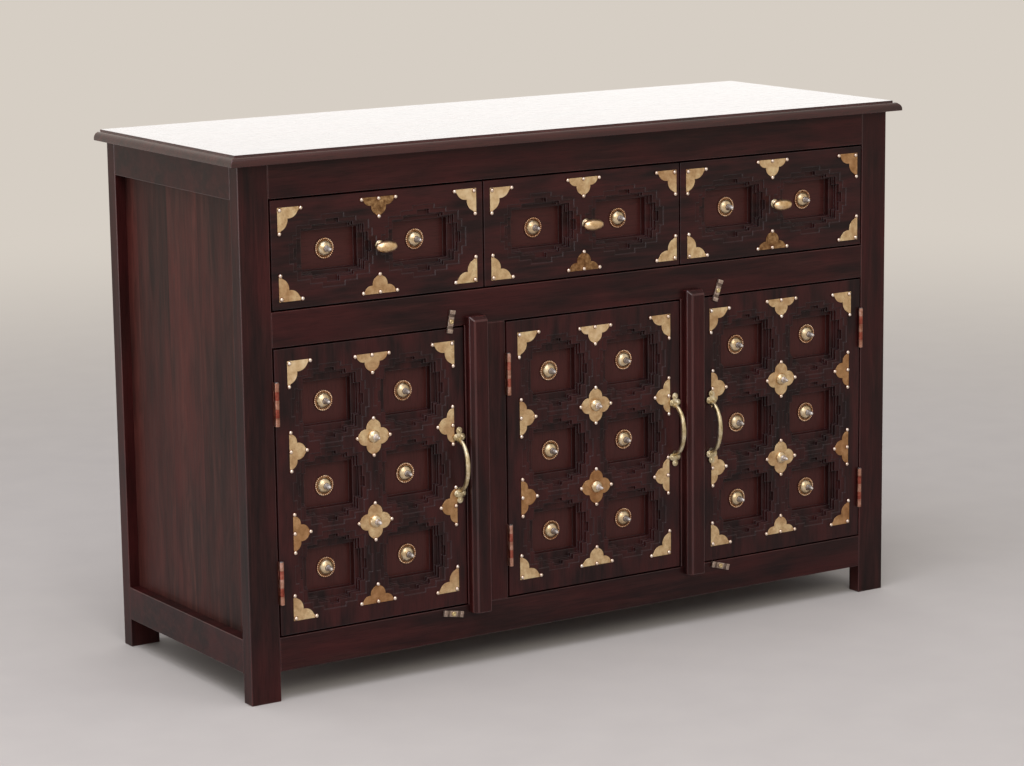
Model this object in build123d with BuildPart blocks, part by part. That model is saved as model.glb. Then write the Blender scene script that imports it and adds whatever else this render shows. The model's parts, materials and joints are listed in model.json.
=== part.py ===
from build123d import *
from math import asin, cos, degrees, radians, sin
import os

# Carved low cabinet: three drawers over three hinged doors, on four corner posts.
# Millimetres. X runs along the front, Y from front to back, Z up.
# The origin is on the floor, in the middle of the cabinet's whole footprint.

# ---------------------------------------------------------------- driving sizes

# Frame
body_width = 1400
body_depth = 500
post_width = 58
post_depth = 29
leg_height = 53
bottom_rail_height = 61
door_opening_height = 510
middle_rail_height = 62
drawer_opening_height = 194
top_rail_height = 61
side_rail_thickness = 30
side_panel_thickness = 10
back_panel_thickness = 10

# Front openings
wide_stile_width = 85
narrow_stile_width = 41
front_gap = 3  # all round each door and drawer front

# Top
top_thickness = 19
top_overhang = 22
top_back_overhang = 7
top_round = 12
top_quirk_height = 3.5
top_quirk_inset = 13

# Inside
floor_thickness = 18
deck_thickness = 15
partition_thickness = 18
shelf_thickness = 15
shelf_height = 255  # above the cupboard floor
shelf_setback = 60

# Cover strips
strip_width = 36
strip_reach = 20
strip_chamfer = 8
strip_overlap_top = 17
strip_overlap_bottom = 14
wide_stile_strip_shift = 1.5  # from the stile's left edge
narrow_stile_strip_shift = 5

# Doors and drawer fronts
leaf_thickness = 36
carving_depths = (2, 9, 15, 28)

# Door carving: outer size from these borders, each level as steps in from that size
door_side_border = 31.5
door_end_border = 34
door_column_gap = 9
door_row_gap = 8
door_carving = (
    ((0, 54), (7, 38), (14, 17), (33, 7), (55, 0)),
    ((11, 61), (16, 41), (25, 22), (45, 14), (68, 8)),
    ((19, 43), (27, 24), (47, 18)),
    ((29, 31),),
)

# Drawer carving
drawer_side_border = 35
drawer_end_border = 31
drawer_column_gap = 10
drawer_carving = (
    ((0, 46), (8, 32), (15, 16), (40, 8), (64, 0)),
    ((10, 54), (16, 38), (24, 23), (46, 17), (74, 9)),
    ((19, 40), (28, 25), (48, 20)),
    ((31, 28),),
)

# Drawer boxes
drawer_count = 3
drawer_box_inset = 10
drawer_wall_thickness = 12
drawer_wall_height = 160
drawer_bottom_thickness = 6
drawer_bottom_lift = 8
drawer_back_room = 10
guide_height = 40
guide_clearance = 2.5
run_clearance = 0.3

# Sheet brass
plate_thickness = 1
quatrefoil_reach = 35
fan_reach = 36
bracket_reach = 47
ring_radius = 18.5
door_bracket_inset = 22
door_fan_inset = 26
door_bottom_extra_inset = 4  # for the lowest brackets and fan
drawer_bracket_inset = 13
drawer_fan_inset = 9.5
door_brass_pitch = 152
door_brass_lift = 2  # above the door's centre

# Nails and bosses
nail_radius = 3
nail_height = 2.8
nail_tip_inset = 2  # from a plate's tips
nail_edge_inset = 2.8  # from a plate's straight edges
nail_corner_inset = 4.4  # from a bracket's two straight edges
boss_radius = 15
boss_height = 9
small_boss_radius = 11
small_boss_height = 7
finial_radius = 4
finial_tip_radius = 0.8
finial_length = 18

# Pulls
pull_length = 139
pull_reach = 35
bow_radius = 4.5
bow_half_span = 46
rosette_lobe_radius = 6
rosette_lobe_offset = 5.5
rosette_thickness = 3.5
rosette_dome_radius = 4.2
rosette_dome_height = 2

# Knobs
knob_length = 42
knob_radius = 10
knob_end_radius = 3
knob_base_radius = 8.5
knob_base_height = 6
knob_neck_radius = 5

# Butt hinges
hinge_length = 76
hinge_pitch = 315
hinge_leaf_width = 25
hinge_leaf_thickness = 1.2
knuckle_count = 5
hinge_shift = 2.5  # from the gap's centre towards the door
knuckle_radius = 4.2
pin_radius = 2
pin_clearance = 0.05
knuckle_clearance = 0.3
pin_head_radius = 3.4
pin_head_height = 1

# Turn buttons
button_length = 41
button_width = 11
button_thickness = 3.5
button_lip = 7
button_lip_height = 1.5
button_clearance = 0.3
button_screw_radius = 2.4
button_hole_clearance = 0.1
button_head_radius = 4
button_head_height = 2.5

# ---------------------------------------------------------------- worked out

# Heights
bottom_rail_top = leg_height + bottom_rail_height
middle_rail_low = bottom_rail_top + door_opening_height
middle_rail_top = middle_rail_low + middle_rail_height
top_rail_low = middle_rail_top + drawer_opening_height
frame_height = top_rail_low + top_rail_height

# Depths: the footprint runs from the pulls to the back edge of the top
footprint_depth = pull_reach + body_depth + top_back_overhang
front_y = pull_reach - footprint_depth / 2
back_y = front_y + body_depth
inner_front_y = front_y + post_depth
inner_back_y = back_y - post_depth
face = Plane.XZ.offset(-front_y)  # the cabinet's front; local x is X, local y is Z

# Widths
body_right = body_width / 2
body_left = -body_right
bay_left = body_left + post_width
bay_right = body_right - post_width
inner_left = body_left + side_rail_thickness
inner_right = body_right - side_rail_thickness
stile_widths = wide_stile_width + narrow_stile_width
door_opening_width = (bay_right - bay_left - stile_widths) / 3
wide_stile = (bay_left + door_opening_width, bay_left + door_opening_width + wide_stile_width)
narrow_stile = (wide_stile[1] + door_opening_width, bay_right - door_opening_width)

# Doors
door_width = door_opening_width - 2 * front_gap
door_height = door_opening_height - 2 * front_gap
door_low = bottom_rail_top + front_gap
door_middle_z = door_low + door_height / 2
# name, centre, side of its hinges, its pull's place from the free edge and above the centre
doors = (
    ("left", bay_left + door_opening_width / 2, -1, 13, 4.5),
    ("middle", wide_stile[1] + door_opening_width / 2, -1, 12, 11),
    ("right", bay_right - door_opening_width / 2, 1, 25, 6),
)
# The brass is nailed by hand, so some of it sits off its place: the shift in X of all of a
# door's plates, and the shift in X and Z of single fans by door, side and row
brass_shifts = {"left": 2.5, "middle": 1, "right": 0}
fan_shifts = {
    ("left", -1, 1): (-3.5, -7),
    ("left", 0, -1): (2.5, 0),
    ("left", 1, 1): (1.5, 0),
    ("left", 1, -1): (5.5, 5),
    ("middle", -1, 1): (-1, -5),
    ("middle", 1, 1): (3, -2),
    ("middle", 1, -1): (1, 0),
    ("right", 0, 1): (0, 7),
}
# The same for single brackets
bracket_shifts = {
    ("door_left", -1, -1): (0.5, -3),
    ("door_left", 1, -1): (2.5, 0),
    ("door_right", -1, -1): (3, 1),
    ("drawer_left", 1, -1): (0, -2.5),
    ("drawer_left", 1, 1): (0, 2.5),
    ("drawer_middle", -1, -1): (1, -3.5),
    ("drawer_middle", 1, -1): (7, -4),
    ("drawer_middle", 1, 1): (7, 1.5),
    ("drawer_right", -1, -1): (2.5, -4),
    ("drawer_right", 1, -1): (5, -3.5),
    ("drawer_right", 1, 1): (4, 1),
}
# The same for single bosses in the recesses, by front, column and, on a door, row
boss_shifts = {
    ("drawer_left", -1): (-3, 0),
    ("drawer_left", 1): (-4, 0),
    ("drawer_middle", -1): (-1, -1.5),
    ("drawer_middle", 1): (2, 0),
    ("drawer_right", -1): (2, 0),
    ("drawer_right", 1): (1, -1),
    ("door_left", 1, 1): (-2, -1),
    ("door_left", -1, 0): (-2, -3),
    ("door_left", 1, 0): (-0.5, -2),
    ("door_left", -1, -1): (-2.5, -1.5),
    ("door_left", 1, -1): (0, -1.5),
    ("door_middle", -1, 1): (-1.5, 0),
    ("door_middle", 1, 1): (0.5, 1.5),
    ("door_middle", -1, -1): (0, -2),
    ("door_middle", 1, -1): (-2, -1),
    ("door_right", -1, 1): (-6, 2.5),
    ("door_right", 1, 1): (0, 5),
    ("door_right", -1, 0): (-3.5, 0.5),
    ("door_right", 1, 0): (-1.5, 0.5),
    ("door_right", -1, -1): (-2.5, 0.5),
    ("door_right", 1, -1): (0, 1),
}

# The shift in X and Z of single knobs
knob_shifts = {"middle": (4.5, 0.5), "right": (5, 1)}

# Drawers
drawer_opening_width = bay_right - bay_left
drawer_width = (drawer_opening_width - (drawer_count + 1) * front_gap) / drawer_count
drawer_height = drawer_opening_height - 2 * front_gap
drawer_middle_z = middle_rail_top + drawer_opening_height / 2
drawer_pitch = drawer_width + front_gap
drawer_names = ("left", "middle", "right")
drawer_box_width = drawer_width - 2 * drawer_box_inset
drawer_box_front_y = front_y + leaf_thickness
drawer_box_back_y = inner_back_y - drawer_back_room
drawer_box_low = middle_rail_top + run_clearance
knob_axis_reach = pull_reach - knob_radius

# Turn buttons: name, x, z, lean from level in degrees
buttons = (
    ("left_top", wide_stile[0] - 29.5, middle_rail_low + 10, 80),
    ("left_bottom", wide_stile[0] - 34, bottom_rail_top - 11, -10),
    ("right_top", narrow_stile[1] + 42, middle_rail_low + 8.5, 70),
    ("right_bottom", narrow_stile[1] + 48, bottom_rail_top - 9.5, -16),
)

low_corner = (Align.MIN, Align.MIN, Align.MIN)
on_plane = (Align.CENTER, Align.CENTER, Align.MIN)

os.makedirs("parts", exist_ok=True)


def save(piece, name):
    """Label a finished piece and write its file."""
    piece.part.label = name
    export_step(piece.part, f"parts/{name}.step")


def board(x_span, y_span, z_span):
    """Add a straight board between three pairs of faces."""
    with Locations((x_span[0], y_span[0], z_span[0])):
        Box(x_span[1] - x_span[0], y_span[1] - y_span[0], z_span[1] - z_span[0], align=low_corner)


def dome(radius, height):
    """Add a shallow round cap that stands on the plane."""
    ball_radius = (radius**2 + height**2) / (2 * height)
    Sphere(ball_radius, arc_size1=degrees(asin(1 - height / ball_radius)), align=on_plane)


# ---------------------------------------------------------------- frame

post_x_spans = {"left": (body_left, bay_left), "right": (bay_right, body_right)}
post_y_spans = {"front": (front_y, inner_front_y), "back": (inner_back_y, back_y)}
for end, y_span in post_y_spans.items():
    for side, x_span in post_x_spans.items():
        with BuildPart() as post:
            board(x_span, y_span, (0, frame_height))
        save(post, f"post_{end}_{side}")

rail_z_spans = {
    "bottom": (leg_height, bottom_rail_top),
    "middle": (middle_rail_low, middle_rail_top),
    "top": (top_rail_low, frame_height),
}
for level, z_span in rail_z_spans.items():
    with BuildPart() as rail:
        board((bay_left, bay_right), (front_y, inner_front_y), z_span)
    save(rail, f"front_rail_{level}")

end_levels = ("bottom", "top")
side_rail_x_spans = ((body_left, inner_left), (inner_right, body_right))
with BuildPart() as side_rails:
    for x_span in side_rail_x_spans:
        for level in end_levels:
            board(x_span, (inner_front_y, inner_back_y), rail_z_spans[level])
save(side_rails, "side_rails")

with BuildPart() as side_panels:
    panel_z_span = (bottom_rail_top, top_rail_low)
    board((inner_left - side_panel_thickness, inner_left), (inner_front_y, inner_back_y), panel_z_span)
    board((inner_right, inner_right + side_panel_thickness), (inner_front_y, inner_back_y), panel_z_span)
save(side_panels, "side_panels")

with BuildPart() as back_rails:
    for level in end_levels:
        board((bay_left, bay_right), (inner_back_y, back_y), rail_z_spans[level])
save(back_rails, "back_rails")

with BuildPart() as back_panel:
    back_panel_y_span = (inner_back_y, inner_back_y + back_panel_thickness)
    board((bay_left, bay_right), back_panel_y_span, (bottom_rail_top, top_rail_low))
save(back_panel, "back_panel")

# The front edge strips between the door openings
with BuildPart() as door_stiles:
    for x_span in (wide_stile, narrow_stile):
        board(x_span, (front_y, inner_front_y), (bottom_rail_top, middle_rail_low))
save(door_stiles, "door_stiles")

# Battens nailed over the stiles: left long edge and top end chamfered
strip_z_span = (bottom_rail_top - strip_overlap_bottom, middle_rail_low + strip_overlap_top)
strip_lefts = (wide_stile[0] + wide_stile_strip_shift, narrow_stile[0] + narrow_stile_strip_shift)
with BuildPart() as cover_strips:
    for strip_left in strip_lefts:
        board((strip_left, strip_left + strip_width), (front_y - strip_reach, front_y), strip_z_span)
    for outer_face in cover_strips.faces().filter_by(Axis.Y).sort_by(Axis.Y)[:2]:
        left_edge = outer_face.edges().sort_by(Axis.X)[0]
        top_edge = outer_face.edges().sort_by(Axis.Z)[-1]
        chamfer([left_edge, top_edge], strip_chamfer)
save(cover_strips, "cover_strips")

# ---------------------------------------------------------------- top

top_y_span = (front_y - top_overhang, back_y + top_back_overhang)
top_x_span = (body_left - top_overhang, body_right + top_overhang)
top_z = frame_height + top_thickness
with BuildPart() as top:
    board(top_x_span, top_y_span, (frame_height, top_z - top_quirk_height))
    rounded = top.faces().sort_by(Axis.Z)[-1].edges().sort_by(Axis.Y)[:-1]
    fillet(rounded, top_round)
    inset_x_span = (top_x_span[0] + top_quirk_inset, top_x_span[1] - top_quirk_inset)
    inset_y_span = (top_y_span[0] + top_quirk_inset, top_y_span[1])
    board(inset_x_span, inset_y_span, (top_z - top_quirk_height, top_z))
save(top, "top")

# ---------------------------------------------------------------- inside boards

inner_y_span = (inner_front_y, inner_back_y)
with BuildPart() as cupboard_floor:
    board((inner_left, inner_right), inner_y_span, (bottom_rail_top - floor_thickness, bottom_rail_top))
save(cupboard_floor, "cupboard_floor")

with BuildPart() as drawer_deck:
    board((inner_left, inner_right), inner_y_span, (middle_rail_top - deck_thickness, middle_rail_top))
save(drawer_deck, "drawer_deck")

# Two upright partitions behind the stiles
half_partition = partition_thickness / 2
partition_x_spans = []
for x_span in (wide_stile, narrow_stile):
    stile_centre = (x_span[0] + x_span[1]) / 2
    partition_x_spans.append((stile_centre - half_partition, stile_centre + half_partition))
with BuildPart() as partitions:
    for x_span in partition_x_spans:
        board(x_span, inner_y_span, (bottom_rail_top, middle_rail_top - deck_thickness))
save(partitions, "cupboard_partitions")

# One shelf in each of the three compartments
shelf_z = bottom_rail_top + shelf_height
shelf_x_spans = (
    (inner_left, partition_x_spans[0][0]),
    (partition_x_spans[0][1], partition_x_spans[1][0]),
    (partition_x_spans[1][1], inner_right),
)
with BuildPart() as shelves:
    for x_span in shelf_x_spans:
        board(x_span, (front_y + shelf_setback, inner_back_y), (shelf_z, shelf_z + shelf_thickness))
save(shelves, "cupboard_shelves")

# Guides that keep the drawers straight: full-height ones between drawers, low ones at the ends
guide_y_span = (drawer_box_front_y + run_clearance, inner_back_y)
guide_half = drawer_box_inset + front_gap / 2 - guide_clearance
end_guide_reach = front_gap + drawer_box_inset - guide_clearance
with BuildPart() as drawer_guides:
    for number in range(1, drawer_count):
        guide_x = bay_left + front_gap / 2 + number * drawer_pitch
        guide_x_span = (guide_x - guide_half, guide_x + guide_half)
        board(guide_x_span, guide_y_span, (middle_rail_top, frame_height))
    end_guide_z_span = (middle_rail_top, middle_rail_top + guide_height)
    board((inner_left, bay_left + end_guide_reach), guide_y_span, end_guide_z_span)
    board((bay_right - end_guide_reach, inner_right), guide_y_span, end_guide_z_span)
save(drawer_guides, "drawer_guides")


# ---------------------------------------------------------------- carving and brass shapes


def carve(centres, half_width, half_height, levels):
    """Cut stepped recesses into a leaf, level by level from the face down."""
    for depth, steps in zip(carving_depths, levels):
        with BuildSketch(face) as outline:
            with Locations(*centres):
                for step_x, step_z in steps:
                    Rectangle(2 * (half_width - step_x), 2 * (half_height - step_z))
        extrude(outline.sketch, amount=-depth, mode=Mode.SUBTRACT)


def quatrefoil(reach):
    """Four round lobes, each with a small point that ends at the reach."""
    lobe_radius = reach * 0.415
    lobe_offset = reach * 0.46
    point_start = reach * 0.8
    point_half = reach * 0.2
    Circle(lobe_radius)
    with PolarLocations(lobe_offset, 4):
        Circle(lobe_radius)
    with PolarLocations(0, 4):
        Polygon((point_start, -point_half), (reach, 0), (point_start, point_half), align=None)


def cut_plate(centre, reach, side_x, side_z):
    """Add a brass plate: a quatrefoil, or its part on the given sides of its centre."""
    with BuildSketch(face) as outline:
        with Locations(centre):
            quatrefoil(reach)
        with Locations((centre[0] + side_x * reach, centre[1] + side_z * reach)):
            Rectangle(2 * reach, 2 * reach, mode=Mode.INTERSECT)
    extrude(outline.sketch, amount=plate_thickness)


def brackets(name, centre, width, half_heights, inset):
    """A front's four corner brackets: low ones, then high ones."""
    plates = []
    for side_z, half_height in zip((-1, 1), half_heights):
        for side_x in (-1, 1):
            shift_x, shift_z = bracket_shifts.get((name, side_x, side_z), (0, 0))
            corner_x = centre[0] + side_x * (width / 2 - inset) + shift_x
            corner_z = centre[1] + side_z * (half_height - inset) + shift_z
            plates.append(((corner_x, corner_z), bracket_reach, -side_x, -side_z))
    return plates


def nail_points(centre, reach, side_x, side_z):
    """Nails at a plate's tips and at its middle or corner, kept in from its straight edges."""
    tip = reach - nail_tip_inset
    edge_x = centre[0] + side_x * nail_edge_inset
    edge_z = centre[1] + side_z * nail_edge_inset
    points = []
    for tip_x, tip_z in ((-1, 0), (1, 0), (0, -1), (0, 1)):
        if tip_x * side_x >= 0 and tip_z * side_z >= 0:
            nail_x = centre[0] + tip_x * tip if tip_x else edge_x
            nail_z = centre[1] + tip_z * tip if tip_z else edge_z
            points.append((nail_x, nail_z, plate_thickness))
    if side_x and side_z:
        corner_x = centre[0] + side_x * nail_corner_inset
        corner_z = centre[1] + side_z * nail_corner_inset
        points.append((corner_x, corner_z, plate_thickness))
    elif side_x or side_z:
        points.append((edge_x, edge_z, plate_thickness))
    return points


def boss(radius, height):
    """Add a domed boss with a pointed finial."""
    dome(radius, height)
    Cone(finial_radius, finial_tip_radius, height / 2 + finial_length, align=on_plane)


def under_pull(nail_x, nail_z, pull_x, pull_z):
    """Whether a nail's place is taken by a pull that lies upright on the plates."""
    beside = abs(nail_x - pull_x) < rosette_lobe_radius
    return beside and abs(nail_z - pull_z) < pull_length / 2 - rosette_lobe_radius


def dress(name, plates, ring_centres, small_boss_centres, pull_centre=None):
    """Make one front's sheet brass and the nails and bosses that stand on it."""
    floor_depth = carving_depths[-1]
    with BuildPart(face) as sheet_brass:
        for plate in plates:
            cut_plate(*plate)
        with Locations(*[(x, z, -floor_depth) for x, z in ring_centres]):
            Cylinder(ring_radius, plate_thickness, align=on_plane)
    save(sheet_brass, f"{name}_brass_plates")
    with BuildPart(face) as studs:
        for plate in plates:
            nails = nail_points(*plate)
            if pull_centre:
                nails = [nail for nail in nails if not under_pull(nail[0], nail[1], *pull_centre)]
            with Locations(*nails):
                dome(nail_radius, nail_height)
        with Locations(*[(x, z, plate_thickness - floor_depth) for x, z in ring_centres]):
            boss(boss_radius, boss_height)
        if small_boss_centres:
            with Locations(*[(x, z, plate_thickness) for x, z in small_boss_centres]):
                boss(small_boss_radius, small_boss_height)
    save(studs, f"{name}_studs")


# ---------------------------------------------------------------- doors

door_half_width = (door_width - 2 * door_side_border - door_column_gap) / 4
door_half_height = (door_height - 2 * door_end_border - 2 * door_row_gap) / 6
door_column = door_half_width + door_column_gap / 2
door_row = 2 * door_half_height + door_row_gap
knuckle_height = hinge_length / knuckle_count
pin_y = front_y - knuckle_radius - knuckle_clearance


def hinge_gap(door_x, hinge_side):
    """The middle of the gap beside a door's hinged edge, and its pins' X."""
    gap_x = door_x + hinge_side * (door_width + front_gap) / 2
    return gap_x, gap_x - hinge_side * hinge_shift


def hinge_half(gap_x, pin_x, side, first_knuckle):
    """Add both hinges' leaves on one side of a gap, with every other knuckle."""
    for middle_z in (door_middle_z - hinge_pitch / 2, door_middle_z + hinge_pitch / 2):
        hinge_low = middle_z - hinge_length / 2
        near_x = gap_x + side * (front_gap / 2 - hinge_leaf_thickness)
        far_x = gap_x + side * front_gap / 2
        leaf_x_span = (min(near_x, far_x), max(near_x, far_x))
        board(leaf_x_span, (front_y, front_y + hinge_leaf_width), (hinge_low, hinge_low + hinge_length))
        for number in range(first_knuckle, knuckle_count, 2):
            knuckle_low = hinge_low + number * knuckle_height + knuckle_clearance / 2
            knuckle_high = knuckle_low + knuckle_height - knuckle_clearance
            board(leaf_x_span, (pin_y, front_y), (knuckle_low, knuckle_high))
            with Locations((pin_x, pin_y, knuckle_low)):
                Cylinder(knuckle_radius, knuckle_high - knuckle_low, align=on_plane)
        with Locations((pin_x, pin_y, hinge_low)):
            bore_radius = pin_radius + pin_clearance
            Cylinder(bore_radius, hinge_length, align=on_plane, mode=Mode.SUBTRACT)


for name, door_x, hinge_side, pull_inset, pull_lift in doors:
    recess_centres = []
    boss_centres = []
    for column in (-1, 1):
        for row in (-1, 0, 1):
            recess_x = door_x + column * door_column
            recess_z = door_middle_z + row * door_row
            shift_x, shift_z = boss_shifts.get((f"door_{name}", column, row), (0, 0))
            recess_centres.append((recess_x, recess_z))
            boss_centres.append((recess_x + shift_x, recess_z + shift_z))

    with BuildPart() as leaf:
        leaf_x_span = (door_x - door_width / 2, door_x + door_width / 2)
        board(leaf_x_span, (front_y, front_y + leaf_thickness), (door_low, door_low + door_height))
        carve(recess_centres, door_half_width, door_half_height, door_carving)
    save(leaf, f"door_{name}_leaf")

    # Corner brackets, fans on all four sides, and quatrefoils between the recesses
    brass_x = door_x + brass_shifts[name]
    half_heights = (door_height / 2 - door_bottom_extra_inset, door_height / 2)
    brass_centre = (brass_x, door_middle_z)
    plates = brackets(f"door_{name}", brass_centre, door_width, half_heights, door_bracket_inset)
    quatrefoil_centres = []
    for row, half_height in zip((-1, 1), half_heights):
        brass_z = door_middle_z + door_brass_lift + row * door_brass_pitch / 2
        quatrefoil_centres.append((brass_x, brass_z))
        plates.append(((brass_x, brass_z), quatrefoil_reach, 0, 0))
        for side in (-1, 0, 1):
            shift_x, shift_z = fan_shifts.get((name, side, row), (0, 0))
            fan_x = brass_x + side * (door_width / 2 - door_fan_inset)
            fan_z = brass_z if side else door_middle_z + row * (half_height - door_fan_inset)
            side_z = 0 if side else -row
            plates.append(((fan_x + shift_x, fan_z + shift_z), fan_reach, -side, side_z))
    pull_x = door_x - hinge_side * (door_width / 2 - pull_inset)
    pull_z = door_middle_z + pull_lift
    dress(f"door_{name}", plates, boss_centres, quatrefoil_centres, (pull_x, pull_z))

    # Bow pull with a three-lobed rosette at each end, seated on the plates
    pull_face = face.offset(plate_thickness)
    with BuildPart(pull_face) as pull:
        with BuildLine(Plane.YZ.offset(pull_x)) as bow:
            bow_low = (front_y - plate_thickness, pull_z - bow_half_span)
            bow_middle = (front_y - pull_reach + bow_radius, pull_z)
            bow_high = (front_y - plate_thickness, pull_z + bow_half_span)
            ThreePointArc(bow_low, bow_middle, bow_high)
        with BuildSketch(Plane(origin=bow.line @ 0, z_dir=bow.line % 0)):
            Circle(bow_radius)
        sweep()
        split(bisect_by=pull_face, keep=Keep.TOP)
        for end in (-1, 1):
            tip_z = pull_z + end * (pull_length / 2 - rosette_lobe_radius)
            pair_z = tip_z - end * 2 * rosette_lobe_radius
            lobes = [(pull_x, tip_z)]
            lobes.append((pull_x - rosette_lobe_offset, pair_z))
            lobes.append((pull_x + rosette_lobe_offset, pair_z))
            with BuildSketch(pull_face):
                with Locations(*lobes):
                    Circle(rosette_lobe_radius)
                with Locations((pull_x, (tip_z + pair_z) / 2)):
                    Rectangle(rosette_lobe_radius, 2 * rosette_lobe_radius)
            extrude(amount=rosette_thickness)
            with Locations(*[(x, z, rosette_thickness) for x, z in lobes]):
                dome(rosette_dome_radius, rosette_dome_height)
    save(pull, f"door_{name}_pull")

    with BuildPart() as door_hinge_leaves:
        hinge_half(*hinge_gap(door_x, hinge_side), -hinge_side, 1)
    save(door_hinge_leaves, f"door_{name}_hinge_leaves")

with BuildPart() as frame_hinge_leaves:
    for name, door_x, hinge_side, *pull_place in doors:
        hinge_half(*hinge_gap(door_x, hinge_side), hinge_side, 0)
save(frame_hinge_leaves, "frame_hinge_leaves")

with BuildPart() as hinge_pins:
    for name, door_x, hinge_side, *pull_place in doors:
        gap_x, pin_x = hinge_gap(door_x, hinge_side)
        for middle_z in (door_middle_z - hinge_pitch / 2, door_middle_z + hinge_pitch / 2):
            with Locations((pin_x, pin_y, middle_z - hinge_length / 2)):
                Cylinder(pin_radius, hinge_length, align=on_plane)
            with Locations((pin_x, pin_y, middle_z + hinge_length / 2)):
                Cylinder(pin_head_radius, pin_head_height, align=on_plane)
save(hinge_pins, "hinge_pins")

# ---------------------------------------------------------------- drawers

drawer_half_width = (drawer_width - 2 * drawer_side_border - drawer_column_gap) / 4
drawer_half_height = drawer_height / 2 - drawer_end_border
drawer_column = drawer_half_width + drawer_column_gap / 2
wall_z_span = (drawer_box_low, drawer_box_low + drawer_wall_height)
box_bottom_z = drawer_box_low + drawer_bottom_lift

for number, name in enumerate(drawer_names):
    drawer_x = bay_left + front_gap + drawer_width / 2 + number * drawer_pitch
    centre = (drawer_x, drawer_middle_z)
    recess_centres = []
    boss_centres = []
    for column in (-1, 1):
        recess_x = drawer_x + column * drawer_column
        shift_x, shift_z = boss_shifts.get((f"drawer_{name}", column), (0, 0))
        recess_centres.append((recess_x, drawer_middle_z))
        boss_centres.append((recess_x + shift_x, drawer_middle_z + shift_z))
    box_left = drawer_x - drawer_box_width / 2
    box_right = drawer_x + drawer_box_width / 2
    inside_x_span = (box_left + drawer_wall_thickness, box_right - drawer_wall_thickness)
    wall_y_span = (drawer_box_front_y, drawer_box_back_y)

    with BuildPart() as drawer_front:
        front_x_span = (drawer_x - drawer_width / 2, drawer_x + drawer_width / 2)
        front_z_span = (drawer_middle_z - drawer_height / 2, drawer_middle_z + drawer_height / 2)
        board(front_x_span, (front_y, front_y + leaf_thickness), front_z_span)
        carve(recess_centres, drawer_half_width, drawer_half_height, drawer_carving)
    save(drawer_front, f"drawer_{name}_front")

    with BuildPart() as drawer_walls:
        board((box_left, inside_x_span[0]), wall_y_span, wall_z_span)
        board((inside_x_span[1], box_right), wall_y_span, wall_z_span)
        back_y_span = (drawer_box_back_y - drawer_wall_thickness, drawer_box_back_y)
        board(inside_x_span, back_y_span, wall_z_span)
    save(drawer_walls, f"drawer_{name}_walls")

    with BuildPart() as drawer_bottom:
        bottom_y_span = (drawer_box_front_y, drawer_box_back_y - drawer_wall_thickness)
        board(inside_x_span, bottom_y_span, (box_bottom_z, box_bottom_z + drawer_bottom_thickness))
    save(drawer_bottom, f"drawer_{name}_bottom")

    # Corner brackets, and a fan above and below the knob
    half_heights = (drawer_height / 2, drawer_height / 2)
    plates = brackets(f"drawer_{name}", centre, drawer_width, half_heights, drawer_bracket_inset)
    for row in (-1, 1):
        fan_z = drawer_middle_z + row * (drawer_height / 2 - drawer_fan_inset)
        plates.append(((drawer_x, fan_z), fan_reach, 0, -row))
    dress(f"drawer_{name}", plates, boss_centres, [])

    # Egg-shaped knob lying along X on a round base and a neck
    shift_x, shift_z = knob_shifts.get(name, (0, 0))
    knob_x = drawer_x + shift_x
    knob_z = drawer_middle_z + shift_z
    with BuildPart(face) as knob:
        with Locations((knob_x, knob_z)):
            Cylinder(knob_base_radius, knob_base_height, align=on_plane)
            Cylinder(knob_neck_radius, knob_axis_reach, align=on_plane)
        knob_centre = (knob_x, front_y - knob_axis_reach, knob_z)
        knob_plane = Plane(origin=knob_centre, x_dir=(1, 0, 0), z_dir=(0, 0, 1))
        with BuildSketch(knob_plane):
            with BuildLine():
                left_end = (-knob_length / 2, knob_end_radius)
                right_end = (knob_length / 2, knob_end_radius)
                ThreePointArc(left_end, (0, knob_radius), right_end)
                Polyline(right_end, (knob_length / 2, 0), (-knob_length / 2, 0), left_end)
            make_face()
        revolve(axis=Axis(knob_centre, (1, 0, 0)))
        fillet(knob.edges().filter_by(GeomType.CIRCLE).group_by(SortBy.RADIUS)[0], 0.6 * knob_end_radius)
    save(knob, f"drawer_{name}_knob")

# ---------------------------------------------------------------- turn buttons

for name, button_x, button_z, lean in buttons:
    lean_direction = (cos(radians(lean)), 0, sin(radians(lean)))
    button_origin = (button_x, front_y - button_clearance, button_z)
    with BuildPart(Plane(origin=button_origin, x_dir=lean_direction, z_dir=(0, -1, 0))) as button:
        Box(button_length, button_width, button_thickness, align=on_plane)
        lip_offset = (button_length - button_lip) / 2
        with Locations((-lip_offset, 0, button_thickness), (lip_offset, 0, button_thickness)):
            Box(button_lip, button_width, button_lip_height, align=on_plane)
        Cylinder(
            button_screw_radius + button_hole_clearance,
            button_thickness,
            align=on_plane,
            mode=Mode.SUBTRACT,
        )
    save(button, f"turn_button_{name}")

with BuildPart(face) as button_screws:
    head_base = button_thickness + 2 * button_clearance
    for name, button_x, button_z, lean in buttons:
        with Locations((button_x, button_z)):
            Cylinder(button_screw_radius, head_base, align=on_plane)
        with Locations((button_x, button_z, head_base)):
            dome(button_head_radius, button_head_height)
save(button_screws, "turn_button_screws")
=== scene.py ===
import bpy
import bmesh
import json
import math
from mathutils import Matrix, Vector

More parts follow.
